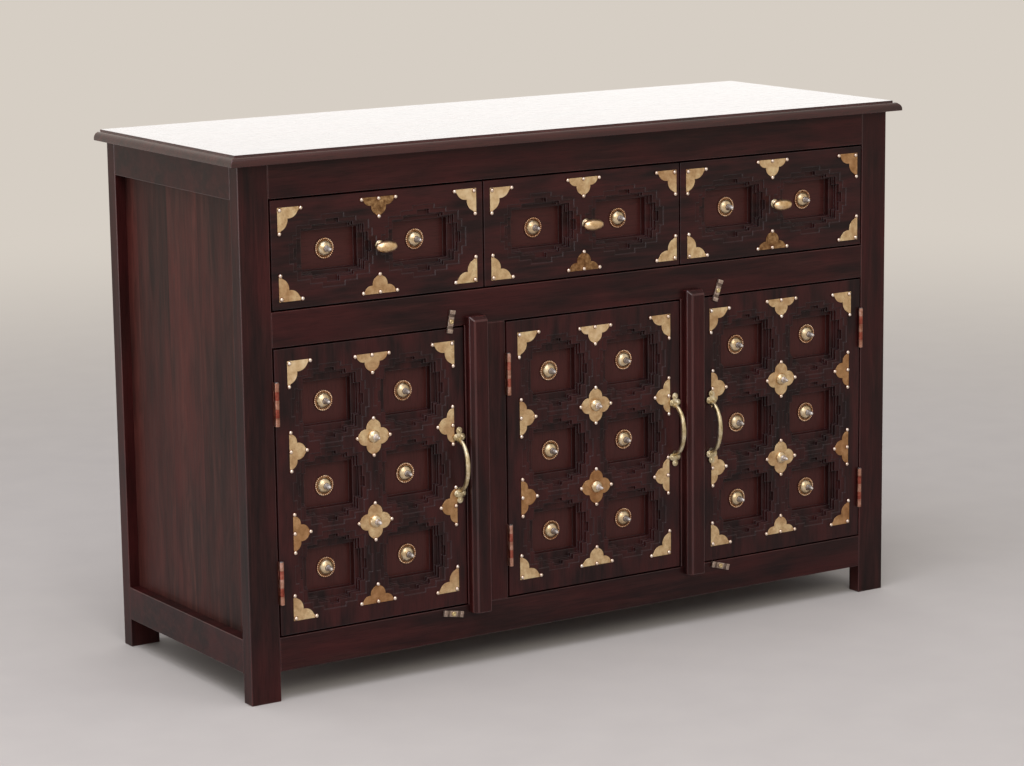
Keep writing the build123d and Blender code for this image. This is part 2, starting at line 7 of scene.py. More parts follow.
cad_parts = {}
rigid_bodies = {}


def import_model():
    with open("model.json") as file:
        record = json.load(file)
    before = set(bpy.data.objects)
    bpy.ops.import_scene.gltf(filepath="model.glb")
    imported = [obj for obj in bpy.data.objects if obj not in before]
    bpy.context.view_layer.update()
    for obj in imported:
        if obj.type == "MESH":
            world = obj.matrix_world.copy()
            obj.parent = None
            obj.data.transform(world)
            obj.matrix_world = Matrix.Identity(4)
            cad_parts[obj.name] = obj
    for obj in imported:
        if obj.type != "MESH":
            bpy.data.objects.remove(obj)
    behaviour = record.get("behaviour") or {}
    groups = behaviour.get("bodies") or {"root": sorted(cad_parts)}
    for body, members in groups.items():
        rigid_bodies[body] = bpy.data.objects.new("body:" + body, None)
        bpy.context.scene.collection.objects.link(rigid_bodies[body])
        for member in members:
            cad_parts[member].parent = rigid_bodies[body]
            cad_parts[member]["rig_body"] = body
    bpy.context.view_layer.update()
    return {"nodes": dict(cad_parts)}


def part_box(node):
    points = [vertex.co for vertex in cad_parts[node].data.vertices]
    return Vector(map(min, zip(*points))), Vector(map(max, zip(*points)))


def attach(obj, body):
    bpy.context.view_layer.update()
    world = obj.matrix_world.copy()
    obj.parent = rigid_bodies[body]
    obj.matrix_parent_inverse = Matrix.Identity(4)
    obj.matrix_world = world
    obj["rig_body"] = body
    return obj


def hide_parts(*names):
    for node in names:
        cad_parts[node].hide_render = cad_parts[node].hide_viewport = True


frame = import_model()
nodes = frame["nodes"]
frontY = -0.236  # the cabinet's front face
mm = 0.001
mergeDistance = 0.02 * mm
flatAngle = math.radians(1.0)  # triangles that meet at less than this are one flat face
keepFlat = 100  # a Weighted Normal modifier's strength, which keeps large faces evenly lit
shapeEnd = math.inf  # above the top of every turned shape
sides = ("left", "middle", "right")
print("frame loaded:", len(nodes), "nodes")


def toLinear(hexColour):  # sRGB hex to the linear colour that a shader wants
    values = [int(hexColour[i:i + 2], 16) / 255 for i in (1, 3, 5)]
    return [v / 12.92 if v <= 0.04045 else ((v + 0.055) / 1.055) ** 2.4 for v in values] + [1.0]


def addNode(tree, kind, settings=None, links=None):
    # one node with its settings and what feeds it; "stops" are a ramp's places and tones
    node = tree.nodes.new(kind)
    for key, value in (settings or {}).items():
        if key == "stops":
            elements = node.color_ramp.elements
            while len(elements) < len(value):
                elements.new(0.5)
            for element, (position, tone) in zip(elements, value):
                element.position = position
                element.color = toLinear(tone) if isinstance(tone, str) else (tone, tone, tone, 1)
        elif isinstance(key, str) and hasattr(node, key):
            setattr(node, key, value)
        else:
            node.inputs[key].default_value = toLinear(value) if isinstance(value, str) else value
    for key, source in (links or {}).items():
        tree.links.new(source, node.inputs[key])
    return node


def newMaterial(name):
    material = bpy.data.materials.new(name)
    material.use_nodes = True
    tree = material.node_tree
    tree.nodes.clear()
    shader = addNode(tree, "ShaderNodeBsdfPrincipled")
    addNode(tree, "ShaderNodeOutputMaterial", links={"Surface": shader.outputs[0]})
    return material, tree, shader


def lacqueredMahogany(name, look):
    # Dark hardwood stained black-red by hand, then lacquered and rubbed: streaks of red and near
    # black along the grain, fine dark pores, and a satin coat that goes pale at a low angle
    material, tree, shader = newMaterial(name)
    axes = {"x": 0, "y": 1, "z": 2}
    blend = {"data_type": "RGBA", "blend_type": "MULTIPLY"}
    place = addNode(tree, "ShaderNodeTexCoord").outputs["Object"]
    split = addNode(tree, "ShaderNodeSeparateXYZ", links={0: place}).outputs
    if look["boardWidth"]:  # glued boards: each has its own piece of grain and its own tone
        across = split[axes[look["across"]]]
        strips = addNode(tree, "ShaderNodeMath", {"operation": "MULTIPLY_ADD",
            1: 1 / (look["boardWidth"] * mm), 2: look["boardShift"]}, {0: across}).outputs[0]
        number = addNode(tree, "ShaderNodeMath", {"operation": "FLOOR"}, {0: strips}).outputs[0]
        chance = addNode(tree, "ShaderNodeTexWhiteNoise", {"noise_dimensions": "1D"}, {"W": number}).outputs
        place = addNode(tree, "ShaderNodeVectorMath", {"operation": "ADD"},
            {0: place, 1: chance[1]}).outputs[0]
        boardTone = addNode(tree, "ShaderNodeValToRGB", {"stops": look["boardTones"]},
            {0: chance[0]}).outputs[0]
        nearSeam = addNode(tree, "ShaderNodeMath", {"operation": "PINGPONG", 1: 0.5}, {0: strips}).outputs[0]
        seamWidth = look["seam"] / look["boardWidth"]
        seam = addNode(tree, "ShaderNodeValToRGB", {"stops": [(0.0, 0.5), (seamWidth, 1.0)]},
            {0: nearSeam}).outputs[0]
        boardTone = addNode(tree, "ShaderNodeMix", {**blend, 0: 1.0}, {6: boardTone, 7: seam}).outputs[2]

    # each pattern: its size in mm across and along the grain, its own shift, its detail, roughness
    # and distortion
    patterns = {
        "bands": (look["band"], look["band"] * 14, 0.0, 3.0, 0.55, 0.6),
        "growth": (look["band"] * 1.6, look["band"] * 9, 3.1, 2.0, 0.5, 0.0),
        "pores": (look["pore"], look["poreLength"], 7.0, 2.0, 0.6, 0.0),
        "blotch": (look["blotch"], look["blotch"] * 3.5, 11.0, 2.0, 0.5, 0.0),
        "waves": (look["wave"], look["wave"] * 4, 17.0, 3.0, 0.6, 0.0),
    }
    noise = {}
    for pattern, (wide, long, ownShift, detail, roughness, distortion) in patterns.items():
        shift = look["seed"] + ownShift
        scale = [1 / (wide * mm)] * 3
        scale[axes[look["grain"]]] = 1 / (long * mm)
        laid = addNode(tree, "ShaderNodeMapping", {"Scale": scale,
            "Location": (shift, shift * 0.7, shift * 1.3)}, {"Vector": place}).outputs[0]
        noise[pattern] = addNode(tree, "ShaderNodeTexNoise", {"Scale": 1.0, "Detail": detail,
            "Roughness": roughness, "Distortion": distortion}, {"Vector": laid}).outputs[0]

    tone = addNode(tree, "ShaderNodeValToRGB", {"stops": [(0.3, look["dark"]), (0.52, look["middle"]),
        (0.72, look["light"])]}, {0: noise["bands"]}).outputs[0]
    rings = addNode(tree, "ShaderNodeMath", {"operation": "MULTIPLY_ADD", 1: look["rings"], 2: look["seed"]},
        {0: noise["growth"]}).outputs[0]
    ringWave = addNode(tree, "ShaderNodeMath", {"operation": "PINGPONG", 1: 1.0}, {0: rings}).outputs[0]
    ringTone = addNode(tree, "ShaderNodeValToRGB", {"stops": [(0.0, 0.62), (0.5, 1.0), (0.85, 1.12)]},
        {0: ringWave}).outputs[0]
    tone = addNode(tree, "ShaderNodeMix", {**blend, 0: look["ringStrength"]},
        {6: tone, 7: ringTone}).outputs[2]
    stain = addNode(tree, "ShaderNodeValToRGB", {"stops": [(0.4, 0.0), (0.64, look["stain"])]},
        {0: noise["blotch"]}).outputs[0]
    tone = addNode(tree, "ShaderNodeMix", {"data_type": "RGBA", 7: look["red"]},
        {0: stain, 6: tone}).outputs[2]
    if look["recessPaintedLight"]:  # painted light: the carving is drawn lighter and redder towards the recess floors, to lift the shade that falls in them
        depth = addNode(tree, "ShaderNodeMapRange", {"From Min": frontY + look["recessStart"] * mm,
            "From Max": frontY + look["recessEnd"] * mm, "To Max": look["recessPaintedLight"]},
            {"Value": split[1]}).outputs[0]
        tone = addNode(tree, "ShaderNodeMix", {"data_type": "RGBA", 7: look["recessLitTone"]},
            {0: depth, 6: tone}).outputs[2]
    poreTone = addNode(tree, "ShaderNodeValToRGB", {"stops": [(0.36, 0.45), (0.5, 1.0)]},
        {0: noise["pores"]}).outputs[0]
    tone = addNode(tree, "ShaderNodeMix", {**blend, 0: look["poreStrength"]},
        {6: tone, 7: poreTone}).outputs[2]
    if look["boardWidth"]:
        tone = addNode(tree, "ShaderNodeMix", {**blend, 0: 1.0}, {6: tone, 7: boardTone}).outputs[2]
    tree.links.new(tone, shader.inputs["Base Color"])

    rough = addNode(tree, "ShaderNodeMapRange", {"From Min": 0.3, "From Max": 0.7,
        "To Min": look["rough"] - 0.06, "To Max": look["rough"] + 0.08}, {"Value": noise["pores"]}).outputs[0]
    tree.links.new(rough, shader.inputs["Roughness"])
    height = addNode(tree, "ShaderNodeMath", {"operation": "MULTIPLY_ADD", 1: 0.35},
        {0: noise["waves"], 2: noise["pores"]}).outputs[0]
    bump = addNode(tree, "ShaderNodeBump", {"Strength": look["bump"], "Distance": look["bumpDepth"] * mm},
        {"Height": height}).outputs[0]
    tree.links.new(bump, shader.inputs["Normal"])
    shader.inputs["IOR"].default_value = 1.5  # lacquer
    shader.inputs["Specular IOR Level"].default_value = 0.14  # waxed and rubbed dull
    shader.inputs["Coat Weight"].default_value = look["coat"]
    shader.inputs["Coat Roughness"].default_value = look["coatRough"]
    shader.inputs["Coat IOR"].default_value = look["coatIor"]
    return material


# sizes in mm: streaks (band), patches of red stain (blotch), pores drawn coarser than they are so
# that they show, brush waves in the lacquer (wave) and glued boards (boardWidth, with their seam)
frameLook = {"grain": "z", "dark": "#1a0a0a", "middle": "#28110f", "light": "#391a17", "red": "#481716",
    "stain": 0.48, "blotch": 60, "band": 15, "rings": 7.0, "ringStrength": 0.28, "pore": 1.4,
    "poreLength": 38, "poreStrength": 0.6, "rough": 0.42, "bump": 0.12, "bumpDepth": 0.6, "wave": 14,
    "coat": 0.2, "coatRough": 0.24, "coatIor": 1.35, "seed": 0.0, "boardWidth": 0, "boardShift": 0.0,
    "seam": 0.8, "across": "y", "boardTones": [(0.0, 0.8), (1.0, 1.1)], "recessPaintedLight": 0.0,
    "recessStart": 20, "recessEnd": 27, "recessLitTone": "#4c2420"}
# the carved look paints light into the recess floors: lighter and redder from 20 to 27 mm behind the front
carvedLook = dict(frameLook, dark="#170909", middle="#271211", light="#361816", red="#431a18", stain=0.7,
    blotch=34, band=11, rough=0.4, bump=0.2, coat=0.24, seed=2.3, recessPaintedLight=0.8)
panelLook = dict(frameLook, dark="#2a1613", middle="#3f231e", light="#553028", red="#5e2822", stain=0.5,
    blotch=80, band=26, rings=13.0, ringStrength=0.7, poreStrength=0.8, rough=0.46, bump=0.25, coat=0.1,
    seed=5.1, boardWidth=118, boardShift=0.38, boardTones=[(0.0, 0.72), (0.5, 0.95), (1.0, 1.16)])
topLook = dict(frameLook, grain="x", dark="#2a1210", middle="#3c1a16", light="#4c241d", rough=0.24,
    bump=0.05, coat=0.9, coatRough=0.14, coatIor=1.45, seed=8.4, boardWidth=132, boardShift=0.2)
topEdgeLook = dict(topLook, dark="#3a1a1a", middle="#4e2424", light="#643232")
innerLook = dict(frameLook, grain="x", dark="#4a3020", middle="#64432c", light="#7c5639", red="#6a3c26",
    stain=0.3, rough=0.62, bump=0.3, coat=0.0)
edgeLook = {"dark": "#220c0c", "middle": "#361413", "light": "#4a1c1a", "red": "#5a1f1b", "rough": 0.3,
    "bump": 0.35, "wave": 6, "coat": 0.9, "coatRough": 0.2, "coatIor": 1.5}
carvedEdgeLook = dict(edgeLook, dark="#1c0d0e", middle="#2a1516", light="#3a1d1e", red="#3a1a1c", coat=0.7,
    recessPaintedLight=0.0)

woods = {}
for grain in "xz":
    for woodName, materialName, look in (
        ("frame", "lacqueredMahoganyFrame", frameLook),  # near black with red stain in soft patches
        ("frameEdge", "rubbedMahoganyEdge", {**frameLook, **edgeLook}),  # rubbed redder, with a wet gleam
        ("carved", "carvedMahogany", carvedLook),  # darker and blotchier, with painted light that makes the recess floors lighter and redder
        ("carvedEdge", "rubbedCarvedEdge", {**carvedLook, **carvedEdgeLook}),  # thin dim lavender glints
    ):
        woods[woodName + grain] = lacqueredMahogany(materialName + grain.upper(), dict(look, grain=grain))
# upright boards with plain growth rings, browner and duller than the frame
woods["sidePanel"] = lacqueredMahogany("boardMahoganySidePanel", panelLook)
woods["backPanel"] = lacqueredMahogany("boardMahoganyBackPanel", dict(panelLook, across="x", seed=6.7))
# a glossy top that mirrors the room at a low angle, with a paler worn edge
woods["top"] = lacqueredMahogany("polishedMahoganyTop", topLook)
woods["topEdge"] = lacqueredMahogany("polishedMahoganyMoulding", topEdgeLook)
# bare brown boards inside, with no lacquer
woods["innerx"] = lacqueredMahogany("plainBoardInside", dict(innerLook, seed=9.9))
woods["innery"] = lacqueredMahogany("plainBoardDrawerSide", dict(innerLook, grain="y", seed=12.2))
print("woods made:", len(woods))


def agedMetal(name, look):
    # Brass, copper or steel that has lain in air and hands: a metal whose colour wanders, with
    # soft clouds, rubbed places and small darker spots of tarnish
    material, tree, shader = newMaterial(name)
    place = addNode(tree, "ShaderNodeTexCoord").outputs["Object"]
    cloud = addNode(tree, "ShaderNodeTexNoise", {"Scale": 1 / (look["cloud"] * mm), "Detail": 4.0,
        "Roughness": 0.6}, {"Vector": place}).outputs[0]
    speck = addNode(tree, "ShaderNodeTexNoise", {"Scale": 1 / (look["speck"] * mm), "Detail": 2.0,
        "Roughness": 0.5}, {"Vector": place}).outputs[0]
    drift = addNode(tree, "ShaderNodeTexNoise", {"Scale": 1 / (look["drift"] * mm), "Detail": 1.0},
        {"Vector": place}).outputs[0]
    tone = addNode(tree, "ShaderNodeValToRGB", {"stops": [(0.32, look["dark"]), (0.5, look["middle"]),
        (0.68, look["light"])]}, {0: cloud}).outputs[0]
    driftTone = addNode(tree, "ShaderNodeValToRGB", {"stops": [(0.34, look["driftColour"]),
        (0.56, "#ffffff")]}, {0: drift}).outputs[0]
    tone = addNode(tree, "ShaderNodeMix", {"data_type": "RGBA", "blend_type": "MULTIPLY", 0: look["wander"]},
        {6: tone, 7: driftTone}).outputs[2]
    spots = addNode(tree, "ShaderNodeValToRGB", {"stops": [(0.28, look["tarnish"]), (0.42, 0.0)]},
        {0: speck}).outputs[0]
    tone = addNode(tree, "ShaderNodeMix", {"data_type": "RGBA", 7: look["tarnishColour"]},
        {0: spots, 6: tone}).outputs[2]
    tree.links.new(tone, shader.inputs["Base Color"])
    rough = addNode(tree, "ShaderNodeMapRange", {"From Min": 0.3, "From Max": 0.7,
        "To Min": look["rough"] - 0.07, "To Max": look["rough"] + 0.1}, {"Value": cloud}).outputs[0]
    tree.links.new(rough, shader.inputs["Roughness"])
    bump = addNode(tree, "ShaderNodeBump", {"Strength": look["bump"], "Distance": look["bumpDepth"] * mm},
        {"Height": cloud}).outputs[0]
    tree.links.new(bump, shader.inputs["Normal"])
    shader.inputs["Metallic"].default_value = 1.0
    return material


# sizes in mm: clouds of tone, specks of tarnish, and a slow drift of the whole colour
sheetLook = {"dark": "#c6a478", "middle": "#e0c296", "light": "#f0daae", "cloud": 14, "speck": 2.2,
    "drift": 75, "driftColour": "#d9c4b8", "tarnish": 0.3, "tarnishColour": "#7a5638", "rough": 0.46,
    "bump": 0.35, "bumpDepth": 0.4, "wander": 0.7}
metalLooks = {
    # sheet brass, rolled and cut by hand: a flat warm tan that a hand has scratched and dulled
    "sheet": ("agedSheetBrass", {}),
    "sheetPale": ("cleanSheetBrass", dict(dark="#d9b88c", middle="#ecd0a4", light="#f8e2be", tarnish=0.1,
        wander=0.2)),  # the plates that were wiped cleaner
    "sheetBrown": ("tarnishedSheetBrass", dict(dark="#a47c54", middle="#be9468", light="#d2aa7e",
        tarnish=0.4)),  # the plates that went brown
    "sheetSpotted": ("spottedSheetBrass", dict(dark="#6e4e34", middle="#9a7650", light="#be9a6e", cloud=6,
        speck=1.6, tarnish=0.9, tarnishColour="#4c3426")),  # brown with dark spots
    # stamped and polished brass nails: small bright, almost white heads
    "nail": ("polishedBrassNail", dict(dark="#ecd2ba", middle="#f8e6d4", light="#fff6ec", tarnish=0.0,
        rough=0.3, bump=0.05, wander=0.1)),
    "nailStain": ("brownBrassRoundNail", dict(dark="#4a2418", middle="#6e3a26", light="#8a5238", cloud=3,
        rough=0.55)),  # the dark rim where polish never reaches
    # turned brass bosses, buffed: a soft golden mirror
    "boss": ("polishedBrassBoss", dict(dark="#c8ac84", middle="#e2cca6", light="#f2e4c8", cloud=9,
        tarnish=0.1, rough=0.34, bump=0.12, bumpDepth=0.2, wander=0.25)),
    "beads": ("copperyBrassBeads", dict(dark="#d0a27c", middle="#ecc8a6", light="#fbe6cc", cloud=6,
        tarnish=0.1, rough=0.36, bump=0.1)),  # pressed beads, pinker than the dome
    "grooveShadeAndDirt": ("brownBrassGrooveShadeAndDirt", dict(dark="#4a2a1e", middle="#704632", light="#8a5c44", cloud=6,
        rough=0.5)),  # painted shade in the grooves and at the finial's collar, dark brown with old polish and dirt
    "finial": ("wornPlatedFinial", dict(dark="#c8bcb0", middle="#e2dad2", light="#f6f2ee", tarnish=0.06,
        rough=0.58, bump=0.1, wander=0.1)),  # worn plating, a duller and whiter grey
    # sand-cast brass, filed and handled: pale, greenish and slightly lumpy
    "cast": ("paleCastBrass", dict(dark="#b8a67c", middle="#d6c6a0", light="#f0e6cc", cloud=11, tarnish=0.25,
        tarnishColour="#6a5a3a", rough=0.4, bump=0.4, bumpDepth=0.5, wander=0.2)),
    "knob": ("castBrassKnob", dict(dark="#d2ac7a", middle="#e8c698", light="#f6deb8", cloud=12, tarnish=0.25,
        tarnishColour="#8a6440", rough=0.32, bump=0.15, wander=0.2)),  # smoother and more golden
    # pressed hinge leaves: coppery on the doors, rubbed tan on the frame
    "copper": ("copperyHingeBrass", dict(dark="#8a463c", middle="#a85c4e", light="#c27c6a", cloud=8,
        tarnish=0.3, tarnishColour="#5a3028", rough=0.42)),
    "tan": ("rubbedHingeBrass", dict(dark="#a4705e", middle="#c0907c", light="#d8b0a0", cloud=8, tarnish=0.3,
        tarnishColour="#6a4034", rough=0.4)),
    "steel": ("dullSteelPin", dict(dark="#8f8d8b", middle="#b4b0b0", light="#d0cccc", rough=0.34,
        tarnishColour="#6a625c")),  # drawn steel, plain grey
    # plated steel turn buttons, worn by fingers: grey-brown, with a darker copy that paints the shade beside
    # the raised lips
    "button": ("wornPlatedSteel", dict(dark="#988478", middle="#b8a496", light="#d2c2b4", cloud=5,
        tarnish=0.5, tarnishColour="#6a5a50", rough=0.46, bump=0.5, wander=0.2)),
    # painted shade beside the turn buttons' lips, a darker copy of the plated steel
    "buttonPaintedShade": ("platedSteelPaintedShade", dict(dark="#5c4e48", middle="#78685e", light="#928276", cloud=5,
        tarnish=0.5, tarnishColour="#40342e", rough=0.5, bump=0.5, wander=0.2)),
    "screw": ("paleBrassScrew", dict(dark="#c4ae78", middle="#dcc896", light="#ecdcb4", cloud=4,
        rough=0.36)),  # a bright yellow head
}
metals = {key: agedMetal(name, dict(sheetLook, **changes)) for key, (name, changes) in metalLooks.items()}
print("metals made:", len(metals))


def boardFrom(nodeName, pieceName, look):
    # a wooden piece, with its sharp edges rubbed round and another wood look on them
    source = nodes[nodeName]
    mesh = source.data.copy()
    mesh.name = pieceName
    work = bmesh.new()
    work.from_mesh(mesh)
    bmesh.ops.remove_doubles(work, verts=work.verts, dist=mergeDistance)
    bmesh.ops.dissolve_limit(work, angle_limit=flatAngle, verts=work.verts, edges=work.edges)
    work.to_mesh(mesh)
    work.free()
    mesh.materials.clear()
    mesh.materials.append(woods[look["wood"]])
    mesh.materials.append(woods[look["edge"]])
    mesh.polygons.foreach_set("material_index", [0] * len(mesh.polygons))
    mesh.polygons.foreach_set("use_smooth", [True] * len(mesh.polygons))
    piece = bpy.data.objects.new(pieceName, mesh)
    bpy.context.scene.collection.objects.link(piece)
    bevel = piece.modifiers.new("rubbedEdges", "BEVEL")
    bevel.width = look["round"] * mm
    bevel.segments = look["steps"]
    bevel.limit_method = "ANGLE"
    bevel.angle_limit = math.radians(boardSharpAngle)
    bevel.use_clamp_overlap = True
    bevel.material = 1
    flatFaces = piece.modifiers.new("flatFaces", "WEIGHTED_NORMAL")
    flatFaces.weight = keepFlat
    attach(piece, source["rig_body"])
    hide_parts(nodeName)


boardSharpAngle = 32  # degrees, from which an edge counts as sharp and is rubbed round
# how each kind of board is finished: its wood, the wood of its edges, their round in mm with its
# steps, and its slot
boardLooks = {
    "frameUp": {"wood": "framez", "edge": "frameEdgez", "round": 1.6, "steps": 3, "slot": "frame_wood"},
    "frameLong": {"wood": "framex", "edge": "frameEdgex", "round": 1.2, "steps": 2, "slot": "frame_wood"},
    "strip": {"wood": "framez", "edge": "frameEdgez", "round": 2.2, "steps": 3, "slot": "frame_wood"},
    "carvedUp": {"wood": "carvedz", "edge": "carvedEdgez", "round": 0.9, "steps": 2, "slot": "carved_wood"},
    "carvedLong": {"wood": "carvedx", "edge": "carvedEdgex", "round": 0.9, "steps": 2, "slot": "carved_wood"},
    "sidePanel": {"wood": "sidePanel", "edge": "frameEdgez", "round": 0.6, "steps": 2, "slot": "panel_wood"},
    "backPanel": {"wood": "backPanel", "edge": "frameEdgez", "round": 0.6, "steps": 2, "slot": "panel_wood"},
    "top": {"wood": "top", "edge": "topEdge", "round": 1.0, "steps": 3, "slot": "top_wood"},
    "inner": {"wood": "innerx", "edge": "innerx", "round": 0.8, "steps": 2, "slot": "inner_wood"},
    "innerDeep": {"wood": "innery", "edge": "innery", "round": 0.8, "steps": 2, "slot": "inner_wood"},
}
boards = {
    "frameUp": ["post_front_left", "post_front_right", "post_back_left", "post_back_right", "door_stiles"],
    "strip": ["cover_strips"],
    "frameLong": ["front_rail_bottom", "front_rail_middle", "front_rail_top", "side_rails", "back_rails"],
    "sidePanel": ["side_panels"],
    "backPanel": ["back_panel"],
    "top": ["top"],
    "inner": ["cupboard_floor", "drawer_deck", "cupboard_shelves"],
    "innerDeep": ["cupboard_partitions", "drawer_guides"],
    "carvedUp": [],
    "carvedLong": [],
}
for side in sides:
    boards["carvedUp"].append("door_" + side + "_leaf")
    boards["carvedLong"].append("drawer_" + side + "_front")
    boards["innerDeep"] += ["drawer_" + side + "_walls", "drawer_" + side + "_bottom"]
for lookName, nodeNames in boards.items():
    for nodeName in nodeNames:
        words = nodeName.split("_")
        pieceName = words[0] + "".join(word.capitalize() for word in words[1:]) + "Wood"
        boardFrom(nodeName, pieceName, boardLooks[lookName])
print("boards made:", sum(len(nodeNames) for nodeNames in boards.values()))


def pieceFrom(work, name, materials, body, replaced):
    # a finished bmesh made a metal piece of the cabinet
    mesh = bpy.data.meshes.new(name)
    work.to_mesh(mesh)
    work.free()
    for material in materials:
        mesh.materials.append(metals[material])
    mesh.polygons.foreach_set("use_smooth", [True] * len(mesh.polygons))
    piece = bpy.data.objects.new(name, mesh)
    bpy.context.scene.collection.objects.link(piece)
    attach(piece, body)
    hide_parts(replaced)
    return piece


def softenEdges(piece, width, angle):  # a small round on the sharp edges of a metal piece
    bevel = piece.modifiers.new("softEdge", "BEVEL")
    bevel.width = width * mm
    bevel.segments = 2
    bevel.limit_method = "ANGLE"
    bevel.angle_limit = math.radians(angle)
    flatFaces = piece.modifiers.new("flatFaces", "WEIGHTED_NORMAL")
    flatFaces.weight = keepFlat


def mergedCopy(nodeName):  # a node's mesh as a bmesh with its corners merged
    work = bmesh.new()
    work.from_mesh(nodes[nodeName].data)
    bmesh.ops.remove_doubles(work, verts=work.verts, dist=mergeDistance)
    return work


def looseParts(work):  # the separate solids of one mesh, as groups of vertices
    left = set(work.verts)
    found = []
    while left:
        start = left.pop()
        group, queue = [start], [start]
        while queue:
            for edge in queue.pop().link_edges:
                for other in edge.verts:
                    if other in left:
                        left.discard(other)
                        group.append(other)
                        queue.append(other)
        found.append(group)
    return found


def middleOf(group):  # the middle of a group of vertices, its width in X in mm, its near and far Y
    lows = [min(v.co[i] for v in group) for i in range(3)]
    highs = [max(v.co[i] for v in group) for i in range(3)]
    return Vector([(a + b) / 2 for a, b in zip(lows, highs)]), (highs[0] - lows[0]) / mm, lows[1], highs[1]


def lathe(profile, bands=((shapeEnd, 0),), steps=32, lying=False):
    # a closed turned shape as its own mesh: the profile is (radius, height) pairs in mm along its
    # axis, and the bands give the material up to each height; it points at the viewer, or lies in X
    work = bmesh.new()
    axis, aside = Vector((0, -1, 0)), Vector((1, 0, 0))
    if lying:
        axis, aside = Vector((1, 0, 0)), Vector((0, 0, 1))
    verts = [work.verts.new(aside * (r * mm) + axis * (h * mm)) for r, h in profile]
    edges = [work.edges.new(pair) for pair in zip(verts, verts[1:])]
    bmesh.ops.spin(work, geom=verts + edges, cent=(0, 0, 0), axis=axis, angle=2 * math.pi, steps=steps,
        use_merge=True)
    bmesh.ops.remove_doubles(work, verts=work.verts, dist=mergeDistance / 4)
    bmesh.ops.recalc_face_normals(work, faces=work.faces)
    for facet in work.faces:
        height = facet.calc_center_median().dot(axis) / mm
        facet.material_index = next(index for limit, index in bands if height < limit)
    mesh = bpy.data.meshes.new("turnedShape")
    work.to_mesh(mesh)
    work.free()
    return mesh


def placeCopy(work, mesh, place):  # adds a copy of a made shape to a bmesh
    shape = mesh.copy()
    shape.transform(Matrix.Translation(place))
    work.from_mesh(shape)
    bpy.data.meshes.remove(shape)


# the tones are picked by place on the front: across and up from -1 to 1, then the tone's number
plateSettings = {"ringDepth": 20, "edge": 0.35, "sharpAngle": 50,
    "tones": ["sheet", "sheetPale", "sheetBrown", "sheetSpotted"],
    "door_left": [(-0.9, 0.9, 1), (0.9, -0.35, 2), (0, -0.9, 2), (-0.9, -0.35, 2)],
    "door_middle": [(0, 0.9, 1), (-0.9, -0.35, 2), (0, -0.3, 2)],
    "door_right": [(0.9, 0.35, 2), (0.9, -0.35, 2), (0.9, -0.9, 2)],
    "drawer_left": [(0.9, 0.9, 1), (0, 0.9, 3)],
    "drawer_middle": [(-0.9, 0.9, 1), (0, -0.9, 3)],
    "drawer_right": [(0, -0.9, 3), (0.9, 0.9, 2)]}


def platesFor(front, board):
    work = mergedCopy(front + "_brass_plates")
    # the rings in the recesses come with their bosses
    rings = [v for v in work.verts if v.co.y > frontY + plateSettings["ringDepth"] * mm]
    bmesh.ops.delete(work, geom=rings, context="VERTS")
    bmesh.ops.dissolve_limit(work, angle_limit=flatAngle, verts=work.verts, edges=work.edges)
    low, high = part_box(front + board)
    plates = [(middleOf(group)[0], group) for group in looseParts(work)]
    for across, up, tone in plateSettings[front]:
        spotX = (low.x + high.x + across * (high.x - low.x)) / 2
        spotZ = (low.z + high.z + up * (high.z - low.z)) / 2
        spot = Vector((spotX, frontY, spotZ))
        nearest = min(plates, key=lambda plate: (plate[0] - spot).length)
        for vert in nearest[1]:
            for facet in vert.link_faces:
                facet.material_index = tone
    piece = pieceFrom(work, front.replace("_", "") + "Plates", plateSettings["tones"],
        nodes[front + "_brass_plates"]["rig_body"], front + "_brass_plates")
    softenEdges(piece, plateSettings["edge"], plateSettings["sharpAngle"])


# profiles are (radius, height) in mm; each band is a material and the height that it ends at
studMaterials = ["nail", "boss", "beads", "finial", "grooveShadeAndDirt", "nailStain"]
studShapes = {
    "nail": {"steps": 14, "bands": [("nail", shapeEnd)],
        "profile": [(0, 0), (3.4, 0), (3.4, 0.5), (3.1, 1.4), (2.3, 2.2), (1.2, 2.7), (0, 2.85)]},
    "nailStain": {"steps": 14, "bands": [("nailStain", shapeEnd)],
        "profile": [(0, 0), (4.1, 0), (3.9, 0.12), (0, 0.12)]},
    # the ring under each large boss and the band at each finial's collar take the painted groove shade
    "ring": {"steps": 48, "bands": [("grooveShadeAndDirt", shapeEnd)],
        "profile": [(0, 0), (18.1, 0), (18.3, 0.9), (17.6, 1.7), (15.6, 1.7), (14.9, 1.1), (0, 1.1)]},
    "dome": {"steps": 40, "bands": [("boss", 8.4), ("grooveShadeAndDirt", 9.4), ("finial", shapeEnd)],
        "profile": [(0, 0), (14.8, 0), (14.7, 0.9), (14.0, 2.5), (12.8, 4.2), (11.0, 5.8), (8.9, 7.0),
            (7.0, 7.8), (5.9, 8.2), (5.4, 8.6), (5.3, 9.2), (5.6, 9.7), (5.3, 10.4), (4.8, 10.9), (4.7, 12.6),
            (4.1, 16.4), (3.2, 19.8), (2.2, 22.2), (1.2, 23.2), (0, 23.4)]},
    "smallDome": {"steps": 32, "bands": [("boss", 6.6), ("grooveShadeAndDirt", 7.5), ("finial", shapeEnd)],
        "profile": [(0, 0), (11.6, 0), (11.5, 1.2), (10.9, 2.8), (9.7, 4.4), (8.1, 5.6), (6.4, 6.4),
            (5.4, 6.7), (5.2, 7.3), (5.7, 7.8), (5.7, 8.6), (5.1, 9.2), (4.4, 9.7), (4.3, 11.0), (3.7, 14.4),
            (2.8, 17.6), (1.9, 20.0), (1.0, 21.0), (0, 21.2)]},
}
studSettings = {"nailLimit": 8, "recessLimit": 10, "recessDepth": 28, "domeLift": 1.05,
    "beadCount": 30, "beadRadius": 1.75, "beadCircle": 17.0, "beadLift": 1.6}

